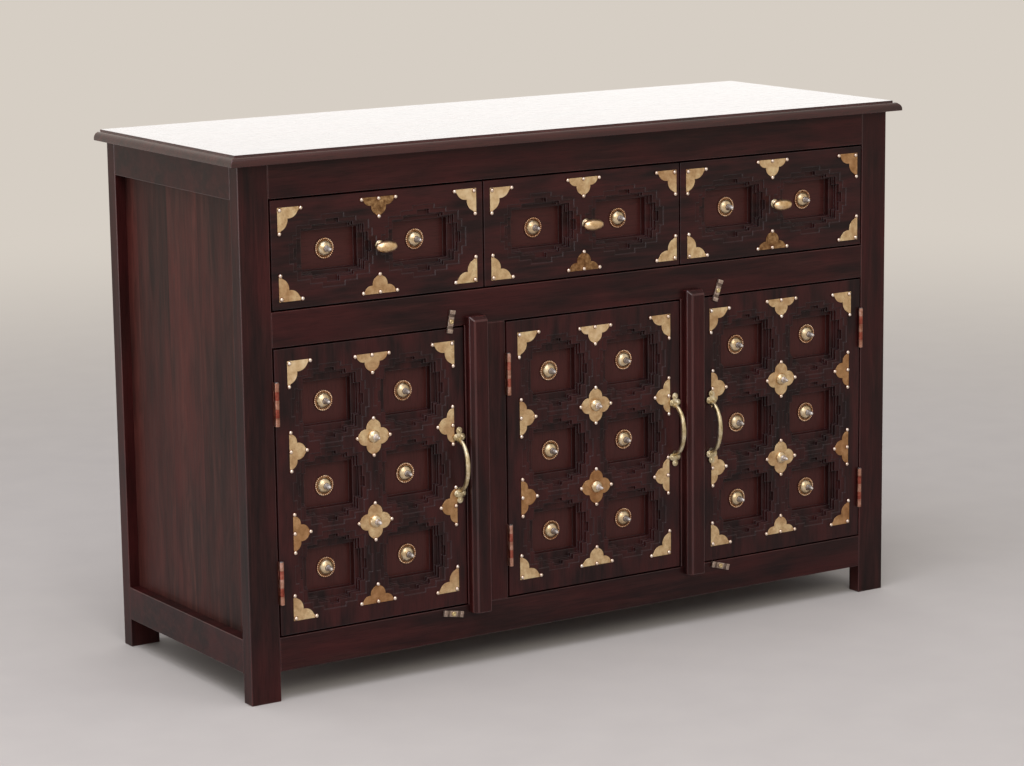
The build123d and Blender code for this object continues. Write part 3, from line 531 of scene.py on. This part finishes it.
turned = {}
for name, shape in studShapes.items():
    bands = [(limit, studMaterials.index(material)) for material, limit in shape["bands"]]
    turned[name] = lathe(shape["profile"], bands, shape["steps"])
bead = bmesh.new()
bmesh.ops.create_uvsphere(bead, u_segments=8, v_segments=5, radius=studSettings["beadRadius"] * mm)
for facet in bead.faces:
    facet.material_index = studMaterials.index("beads")
turned["bead"] = bpy.data.meshes.new("turnedBead")
bead.to_mesh(turned["bead"])
bead.free()


def studsFor(front):
    s = studSettings
    nodeName = front + "_studs"
    source = mergedCopy(nodeName)
    found = [middleOf(group) for group in looseParts(source)]
    source.free()
    work = bmesh.new()
    for middle, width, nearY, farY in found:
        foot = Vector((middle.x, farY, middle.z))
        if width < s["nailLimit"]:
            placeCopy(work, turned["nailStain"], foot)
            placeCopy(work, turned["nail"], foot)
        elif farY > frontY + s["recessLimit"] * mm:  # a large boss in a recess, on its beaded ring
            floor = Vector((middle.x, frontY + s["recessDepth"] * mm, middle.z))
            placeCopy(work, turned["ring"], floor)
            placeCopy(work, turned["dome"], floor + Vector((0, -s["domeLift"] * mm, 0)))
            for number in range(s["beadCount"]):
                turn = 2 * math.pi * number / s["beadCount"]
                beadX, beadZ = math.cos(turn) * s["beadCircle"], math.sin(turn) * s["beadCircle"]
                placeCopy(work, turned["bead"], floor + Vector((beadX, -s["beadLift"], beadZ)) * mm)
        else:  # a small boss on a quatrefoil
            placeCopy(work, turned["smallDome"], foot)
    pieceFrom(work, front.replace("_", "") + "Studs", studMaterials, nodes[nodeName]["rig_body"], nodeName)


for side in sides:
    platesFor("door_" + side, "_leaf")
    platesFor("drawer_" + side, "_front")
    studsFor("door_" + side)
    studsFor("drawer_" + side)
print("brass plates and studs made")


# in mm: half the bow's span, its reach, its thickness at the middle and lower down (slimRate is how
# soon it slims), and its flare at the feet; the rims are the heights and insets of a rosette's edge
pullSettings = {"halfSpan": 46, "reach": 29.4, "thick": 4.6, "thin": 3.9, "slimRate": 1.3, "foot": 1.7,
    "flare": 0.22, "sectionSteps": 16, "bowSteps": 44, "length": 139, "lobeRadius": 6.5, "pairOffset": 5.9,
    "tipDrop": 6.4, "pairDrop": 18.2, "web": 5.4, "lobeSteps": 72, "buttonSteps": 20,
    "rims": ((0.0, 0.0), (2.0, 0.0), (2.9, 0.4), (3.3, 1.2)),
    "button": [(0, 2.6), (3.9, 2.6), (3.9, 3.6), (3.5, 4.1), (3.0, 4.1), (2.7, 3.7), (2.3, 3.7), (1.9, 4.5),
        (1.1, 4.9), (0, 5.0)]}


def bowOf(work, seat):
    # a thin ring of points turned over half a circle, then drawn out to half an ellipse
    s = pullSettings
    unit = 0.1  # the ring's radius before it is drawn out
    section = bmesh.ops.create_circle(work, segments=s["sectionSteps"], radius=unit)["verts"]
    bmesh.ops.translate(work, verts=section, vec=(0, 0, -1))
    rim = list({e for v in section for e in v.link_edges})
    bmesh.ops.rotate(work, verts=section, cent=(0, 0, -1), matrix=Matrix.Rotation(math.pi / 2, 3, "X"))
    bmesh.ops.spin(work, geom=section + rim, cent=(0, 0, 0), axis=(1, 0, 0), angle=-math.pi,
        steps=s["bowSteps"], use_merge=False)
    for vert in work.verts:
        arm = math.atan2(-vert.co.y, vert.co.z)  # pi at the low foot, 0 at the high foot
        across, outward = vert.co.x / unit, (math.hypot(vert.co.y, vert.co.z) - 1) / unit
        line = Vector((0, -math.sin(arm) * s["reach"], math.cos(arm) * s["halfSpan"]))
        normal = Vector((0, -math.sin(arm) * s["halfSpan"], math.cos(arm) * s["reach"])).normalized()
        slim = (s["thick"] - s["thin"]) * min(1, abs(math.cos(arm)) * s["slimRate"])
        flare = s["foot"] * max(0, 1 - math.sin(arm) / s["flare"]) ** 2
        wide = s["thick"] - slim + flare
        vert.co = seat + (line + Vector((1, 0, 0)) * across * wide + normal * outward * wide) * mm
    ends = [e for e in work.edges if len(e.link_faces) < 2]
    bmesh.ops.holes_fill(work, edges=ends, sides=20)


def rosetteOf(work, seat, end, button):
    # one lobed plate with a rounded rim, and a small ringed button on each lobe
    s = pullSettings
    tip, pair = s["length"] / 2 - s["tipDrop"], s["length"] / 2 - s["pairDrop"]
    lobes = [(0, tip), (-s["pairOffset"], pair), (s["pairOffset"], pair)]
    middle = (tip + 2 * pair) / 3
    closed = (s["rims"][0][0], s["rims"][-1][0])  # the lowest and the highest rim have a face
    last = None
    for height, inset in s["rims"]:
        loop = bmesh.ops.create_circle(work, cap_ends=height in closed, radius=1,
            segments=s["lobeSteps"])["verts"]
        for vert in loop:
            turn = vert.co.normalized()
            away = s["web"]
            for lobeX, lobeZ in lobes:
                along = lobeX * turn.x + (lobeZ - middle) * turn.y
                past = lobeX ** 2 + (lobeZ - middle) ** 2 - along ** 2
                if past < s["lobeRadius"] ** 2 and along > 0:
                    away = max(away, along + math.sqrt(s["lobeRadius"] ** 2 - past))
            out = turn * (away - inset)
            vert.co = seat + Vector((out.x, -height, end * (middle + out.y))) * mm
        if last:
            seam = {e for v in last + loop for e in v.link_edges if len(e.link_faces) < 2}
            bmesh.ops.bridge_loops(work, edges=list(seam))
        last = loop
    for lobeX, lobeZ in lobes:
        placeCopy(work, button, seat + Vector((lobeX, 0, end * lobeZ)) * mm)


def pullFor(side):
    nodeName = "door_" + side + "_pull"
    low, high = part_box(nodeName)
    seat = Vector(((low.x + high.x) / 2, high.y, (low.z + high.z) / 2))
    work = bmesh.new()
    bowOf(work, seat)
    button = lathe(pullSettings["button"], steps=pullSettings["buttonSteps"])
    for end in (-1, 1):
        rosetteOf(work, seat, end, button)
    bmesh.ops.recalc_face_normals(work, faces=work.faces)
    pieceFrom(work, "bowPull" + side.capitalize(), ["cast"], side + "_door", nodeName)


knobSettings = {"eggReach": 25, "footSteps": 32, "eggSteps": 36, "castUpTo": 4.0,
    "foot": [(0, 0), (8.5, 0), (8.5, 1.8), (7.9, 2.6), (7.2, 2.8), (7.2, 3.6), (7.5, 4.4), (7.0, 5.4),
        (5.6, 6.2), (4.8, 8.0), (4.6, 14.0), (5.4, 17.0), (5.6, 20.0), (0, 20.0)],
    "egg": [(0, 20.9), (2.6, 20.4), (4.6, 19.1), (6.3, 17.0), (7.8, 14.0), (8.9, 10.4), (9.6, 6.4),
        (9.95, 2.6), (10.0, 0)]}


def knobFor(side):
    s = knobSettings
    nodeName = "drawer_" + side + "_knob"
    low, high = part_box(nodeName)
    seat = Vector(((low.x + high.x) / 2, high.y, (low.z + high.z) / 2))
    otherHalf = [(r, -h) for r, h in reversed(s["egg"][:-1])]
    work = bmesh.new()
    placeCopy(work, lathe(s["foot"], ((s["castUpTo"], 1), (shapeEnd, 0)), s["footSteps"]), seat)
    placeCopy(work, lathe(s["egg"] + otherHalf, steps=s["eggSteps"], lying=True),
        seat + Vector((0, -s["eggReach"] * mm, 0)))
    pieceFrom(work, "eggKnob" + side.capitalize(), ["knob", "cast"], side + "_drawer", nodeName)


for side in sides:
    pullFor(side)
    knobFor(side)
print("pulls and knobs made")


hingeSettings = {"edge": 0.35, "pinEdge": 0.2, "sharpAngle": 40}
# the turn buttons lean as they were left by hand, in degrees from the level
buttonSettings = {"length": 41, "width": 11, "thick": 3.5, "lip": 7, "lipHeight": 1.5, "paintedShadeFrom": 8.0,
    "round": 0.5, "sharpAngle": 40, "tolerance": 0.01,
    "lean": {"left_top": 80, "left_bottom": -10, "right_top": 70, "right_bottom": -16},
    "shankRadius": 2.3, "shankShort": 2, "headLift": 2.3, "headSteps": 24, "shankSteps": 16,
    "screw": [(0, 0), (4.3, 0), (4.3, 1.3), (3.9, 1.9), (3.0, 2.2), (1.5, 2.3), (1.2, 1.4), (0, 1.4)]}


def smallMetalFrom(nodeName, pieceName, metal, width):
    work = mergedCopy(nodeName)
    bmesh.ops.dissolve_limit(work, angle_limit=flatAngle, verts=work.verts, edges=work.edges)
    piece = pieceFrom(work, pieceName, [metal], nodes[nodeName]["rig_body"], nodeName)
    softenEdges(piece, width, hingeSettings["sharpAngle"])


def turnButtonFrom(place):
    # a plate with a raised lip at each end, with painted shade on the plate beside each lip
    s = buttonSettings
    nodeName = "turn_button_" + place
    low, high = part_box(nodeName)
    lipStart = s["length"] / 2 - s["lip"]
    work = bmesh.new()
    bmesh.ops.create_cube(work, size=1)
    bmesh.ops.scale(work, verts=work.verts, vec=(s["length"], s["thick"], s["width"]))
    bmesh.ops.translate(work, verts=work.verts, vec=(0, -s["thick"] / 2, 0))
    for offset in (-lipStart, -s["paintedShadeFrom"], s["paintedShadeFrom"], lipStart):
        everything = work.verts[:] + work.edges[:] + work.faces[:]
        bmesh.ops.bisect_plane(work, geom=everything, plane_co=(offset, 0, 0), plane_no=(1, 0, 0),
            dist=s["tolerance"] / 10)
    front = [f for f in work.faces if f.calc_center_median().y < s["tolerance"] - s["thick"]]
    for facet in front:
        # painted shade: the plate's front between the middle and each lip takes the darker steel
        if s["paintedShadeFrom"] < abs(facet.calc_center_median().x) < lipStart:
            facet.material_index = 1
    for facet in [f for f in front if abs(f.calc_center_median().x) > lipStart]:
        raised = bmesh.ops.extrude_face_region(work, geom=[facet])["geom"]
        corners = [v for v in raised if isinstance(v, bmesh.types.BMVert)]
        bmesh.ops.translate(work, verts=corners, vec=(0, -s["lipHeight"], 0))
        if facet.is_valid:
            bmesh.ops.delete(work, geom=[facet], context="FACES_ONLY")
    bmesh.ops.recalc_face_normals(work, faces=work.faces)
    sharpAngle = math.radians(s["sharpAngle"])
    sharp = [e for e in work.edges if len(e.link_faces) == 2 and e.calc_face_angle() > sharpAngle]
    bmesh.ops.bevel(work, geom=sharp, offset=s["round"], segments=2, profile=0.5, affect="EDGES",
        material=-1)
    lean = Matrix.Rotation(-math.radians(s["lean"][place]), 3, "Y")
    bmesh.ops.rotate(work, verts=work.verts, cent=(0, 0, 0), matrix=lean)
    bmesh.ops.scale(work, verts=work.verts, vec=(mm, mm, mm))
    bmesh.ops.translate(work, verts=work.verts, vec=((low.x + high.x) / 2, high.y, (low.z + high.z) / 2))
    bmesh.ops.recalc_face_normals(work, faces=work.faces)
    across, up = place.split("_")
    pieceFrom(work, "turnButton" + across.capitalize() + up.capitalize(), ["button", "buttonPaintedShade"],
        nodes[nodeName]["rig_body"], nodeName)


def buttonScrews():
    s = buttonSettings
    nodeName = "turn_button_screws"
    source = mergedCopy(nodeName)
    head = lathe(s["screw"], steps=s["headSteps"])
    work = bmesh.new()
    for middle, width, nearY, farY in [middleOf(group) for group in looseParts(source)]:
        radius = s["shankRadius"] * mm
        shank = bmesh.ops.create_cone(work, cap_ends=True, segments=s["shankSteps"], radius1=radius,
            radius2=radius, depth=farY - nearY - s["shankShort"] * mm)["verts"]
        shankY = (farY + nearY + s["shankShort"] * mm) / 2
        bmesh.ops.rotate(work, verts=shank, cent=(0, 0, 0), matrix=Matrix.Rotation(math.pi / 2, 3, "X"))
        bmesh.ops.translate(work, verts=shank, vec=(middle.x, shankY, middle.z))
        placeCopy(work, head, Vector((middle.x, nearY + s["headLift"] * mm, middle.z)))
    source.free()
    pieceFrom(work, "turnButtonScrews", ["screw"], nodes[nodeName]["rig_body"], nodeName)


smallMetalFrom("frame_hinge_leaves", "frameHingeLeaves", "tan", hingeSettings["edge"])
smallMetalFrom("hinge_pins", "hingePins", "steel", hingeSettings["pinEdge"])
for side in sides:
    smallMetalFrom("door_" + side + "_hinge_leaves", "doorHingeLeaves" + side.capitalize(), "copper",
        hingeSettings["edge"])
for place in buttonSettings["lean"]:
    turnButtonFrom(place)
buttonScrews()
print("hinges and turn buttons made")


# the floor fades into the backdrop between these distances from the cabinet, in metres
stageSettings = {"floor": "#cbc2b7", "floorDark": "#c3bab0", "backdrop": "#d6cec4", "floorSize": 90.0,
    "floorPatch": 111.1, "worldStrength": 0.62, "worldColour": "#f2f4fb", "fadeFrom": 1.6, "fadeTo": 5.5}

work = bmesh.new()
bmesh.ops.create_grid(work, x_segments=1, y_segments=1, size=stageSettings["floorSize"] / 2)
floorMesh = bpy.data.meshes.new("studioFloor")
work.to_mesh(floorMesh)
work.free()
studioFloor = bpy.data.objects.new("studioFloor", floorMesh)
bpy.context.scene.collection.objects.link(studioFloor)

# matt wall paint on the floor: a pale stone tone that takes a soft shadow and gives no mirror
floorPaint, floorTree, floorShader = newMaterial("matPaintedFloor")
floorMesh.materials.append(floorPaint)
world = bpy.data.worlds.new("softStudio")
bpy.context.scene.world = world
world.use_nodes = True
worldTree = world.node_tree
worldTree.nodes.clear()

# 1 for the camera's rays and for those that a mirror or glass sends on, in the floor and the world
seenRays = []
for tree in (floorTree, worldTree):
    rays = addNode(tree, "ShaderNodeLightPath").outputs
    direct = addNode(tree, "ShaderNodeMath", {"operation": "ADD"},
        {0: rays["Is Camera Ray"], 1: rays["Is Glossy Ray"]}).outputs[0]
    seenRays.append(addNode(tree, "ShaderNodeMath", {"operation": "ADD", "use_clamp": True},
        {0: direct, 1: rays["Is Transmission Ray"]}).outputs[0])
floorSeen, worldSeen = seenRays

floorPlace = addNode(floorTree, "ShaderNodeTexCoord").outputs["Object"]
floorScale = 1 / (stageSettings["floorPatch"] * mm)  # soft patches in the paint, in mm
floorNoise = addNode(floorTree, "ShaderNodeTexNoise", {"Scale": floorScale, "Detail": 3.0},
    {"Vector": floorPlace}).outputs[0]
floorTone = addNode(floorTree, "ShaderNodeMix", {"data_type": "RGBA", 6: stageSettings["floor"],
    7: stageSettings["floorDark"]}, {0: floorNoise}).outputs[2]
floorTree.links.new(floorTone, floorShader.inputs["Base Color"])
floorShader.inputs["Roughness"].default_value = 0.9
floorShader.inputs["Specular IOR Level"].default_value = 0.1
floorReach = addNode(floorTree, "ShaderNodeVectorMath", {"operation": "LENGTH"},
    {0: floorPlace}).outputs["Value"]
floorFade = addNode(floorTree, "ShaderNodeMapRange", {"interpolation_type": "SMOOTHSTEP",
    "From Min": stageSettings["fadeFrom"], "From Max": stageSettings["fadeTo"]},
    {"Value": floorReach}).outputs[0]
floorFade = addNode(floorTree, "ShaderNodeMath", {"operation": "MULTIPLY"},
    {0: floorFade, 1: floorSeen}).outputs[0]
floorBack = addNode(floorTree, "ShaderNodeEmission", {"Color": stageSettings["backdrop"],
    "Strength": 1.0}).outputs[0]
floorMix = addNode(floorTree, "ShaderNodeMixShader", links={0: floorFade, 1: floorShader.outputs[0],
    2: floorBack}).outputs[0]
floorOutput = next(n for n in floorTree.nodes if n.type == "OUTPUT_MATERIAL")
floorTree.links.new(floorMix, floorOutput.inputs["Surface"])

softLight = addNode(worldTree, "ShaderNodeBackground", {"Color": stageSettings["worldColour"],
    "Strength": stageSettings["worldStrength"]}).outputs[0]
seenBack = addNode(worldTree, "ShaderNodeBackground", {"Color": stageSettings["backdrop"],
    "Strength": 1.0}).outputs[0]
worldMix = addNode(worldTree, "ShaderNodeMixShader",
    links={0: worldSeen, 1: softLight, 2: seenBack}).outputs[0]
addNode(worldTree, "ShaderNodeOutputWorld", links={"Surface": worldMix})

lamps = {
    "overheadSoftbox": {"place": (-1.1, -0.9, 3.7), "aim": (0, 0, 0.5), "size": (3.4, 3.0), "power": 92,
        "colour": "#e6ebff"},
    "frontSoftbox": {"place": (-1.7, -4.2, 3.0), "aim": (-0.2, -0.2, 0.5), "size": (3.0, 1.7), "power": 52,
        "colour": "#fbfaf6"},
    "sideReflector": {"place": (-3.8, -0.3, 0.4), "aim": (-0.7, 0, 0.2), "size": (3.0, 1.0), "power": 22,
        "colour": "#f4f4fc"},
    "rearSheet": {"place": (3.6, 5.2, 1.85), "aim": (0, 0, 0.95), "size": (5.4, 2.0), "power": 31,
        "colour": "#f8fafd"},  # it lies in the polished top's mirror direction
}
for name, lamp in lamps.items():
    light = bpy.data.lights.new(name, "AREA")
    light.shape = "RECTANGLE"
    light.size, light.size_y = lamp["size"]
    light.energy = lamp["power"]
    light.color = toLinear(lamp["colour"])[:3]
    lampObject = bpy.data.objects.new(name, light)
    lampObject.location = lamp["place"]
    towards = Vector(lamp["aim"]) - Vector(lamp["place"])
    lampObject.rotation_euler = towards.to_track_quat("-Z", "Y").to_euler()
    bpy.context.scene.collection.objects.link(lampObject)

cameraSettings = {"place": (-3.1506, -4.8924, 1.5747), "lens": 110.6, "yaw": 32.7327, "pitch": 10.8987,
    "roll": -0.7202}
cameraData = bpy.data.cameras.new("studioCamera")
cameraData.lens = cameraSettings["lens"]
cameraData.sensor_width = 36.0
cameraData.sensor_fit = "HORIZONTAL"
cameraData.clip_end = 200.0
studioCamera = bpy.data.objects.new("studioCamera", cameraData)
yaw, pitch, roll = (math.radians(cameraSettings[k]) for k in ("yaw", "pitch", "roll"))
ahead = Vector((math.sin(yaw) * math.cos(pitch), math.cos(yaw) * math.cos(pitch), -math.sin(pitch)))
level = Vector((math.cos(yaw), -math.sin(yaw), 0))
upward = level.cross(ahead)
rolledRight = level * math.cos(roll) + upward * math.sin(roll)
rolledUp = upward * math.cos(roll) - level * math.sin(roll)
turnedAxes = Matrix((rolledRight, rolledUp, -ahead)).transposed().to_4x4()
studioCamera.matrix_world = Matrix.Translation(Vector(cameraSettings["place"])) @ turnedAxes
bpy.context.scene.collection.objects.link(studioCamera)
bpy.context.scene.camera = studioCamera
bpy.context.scene.view_settings.view_transform = "Standard"
print("stage, lamps and camera set")
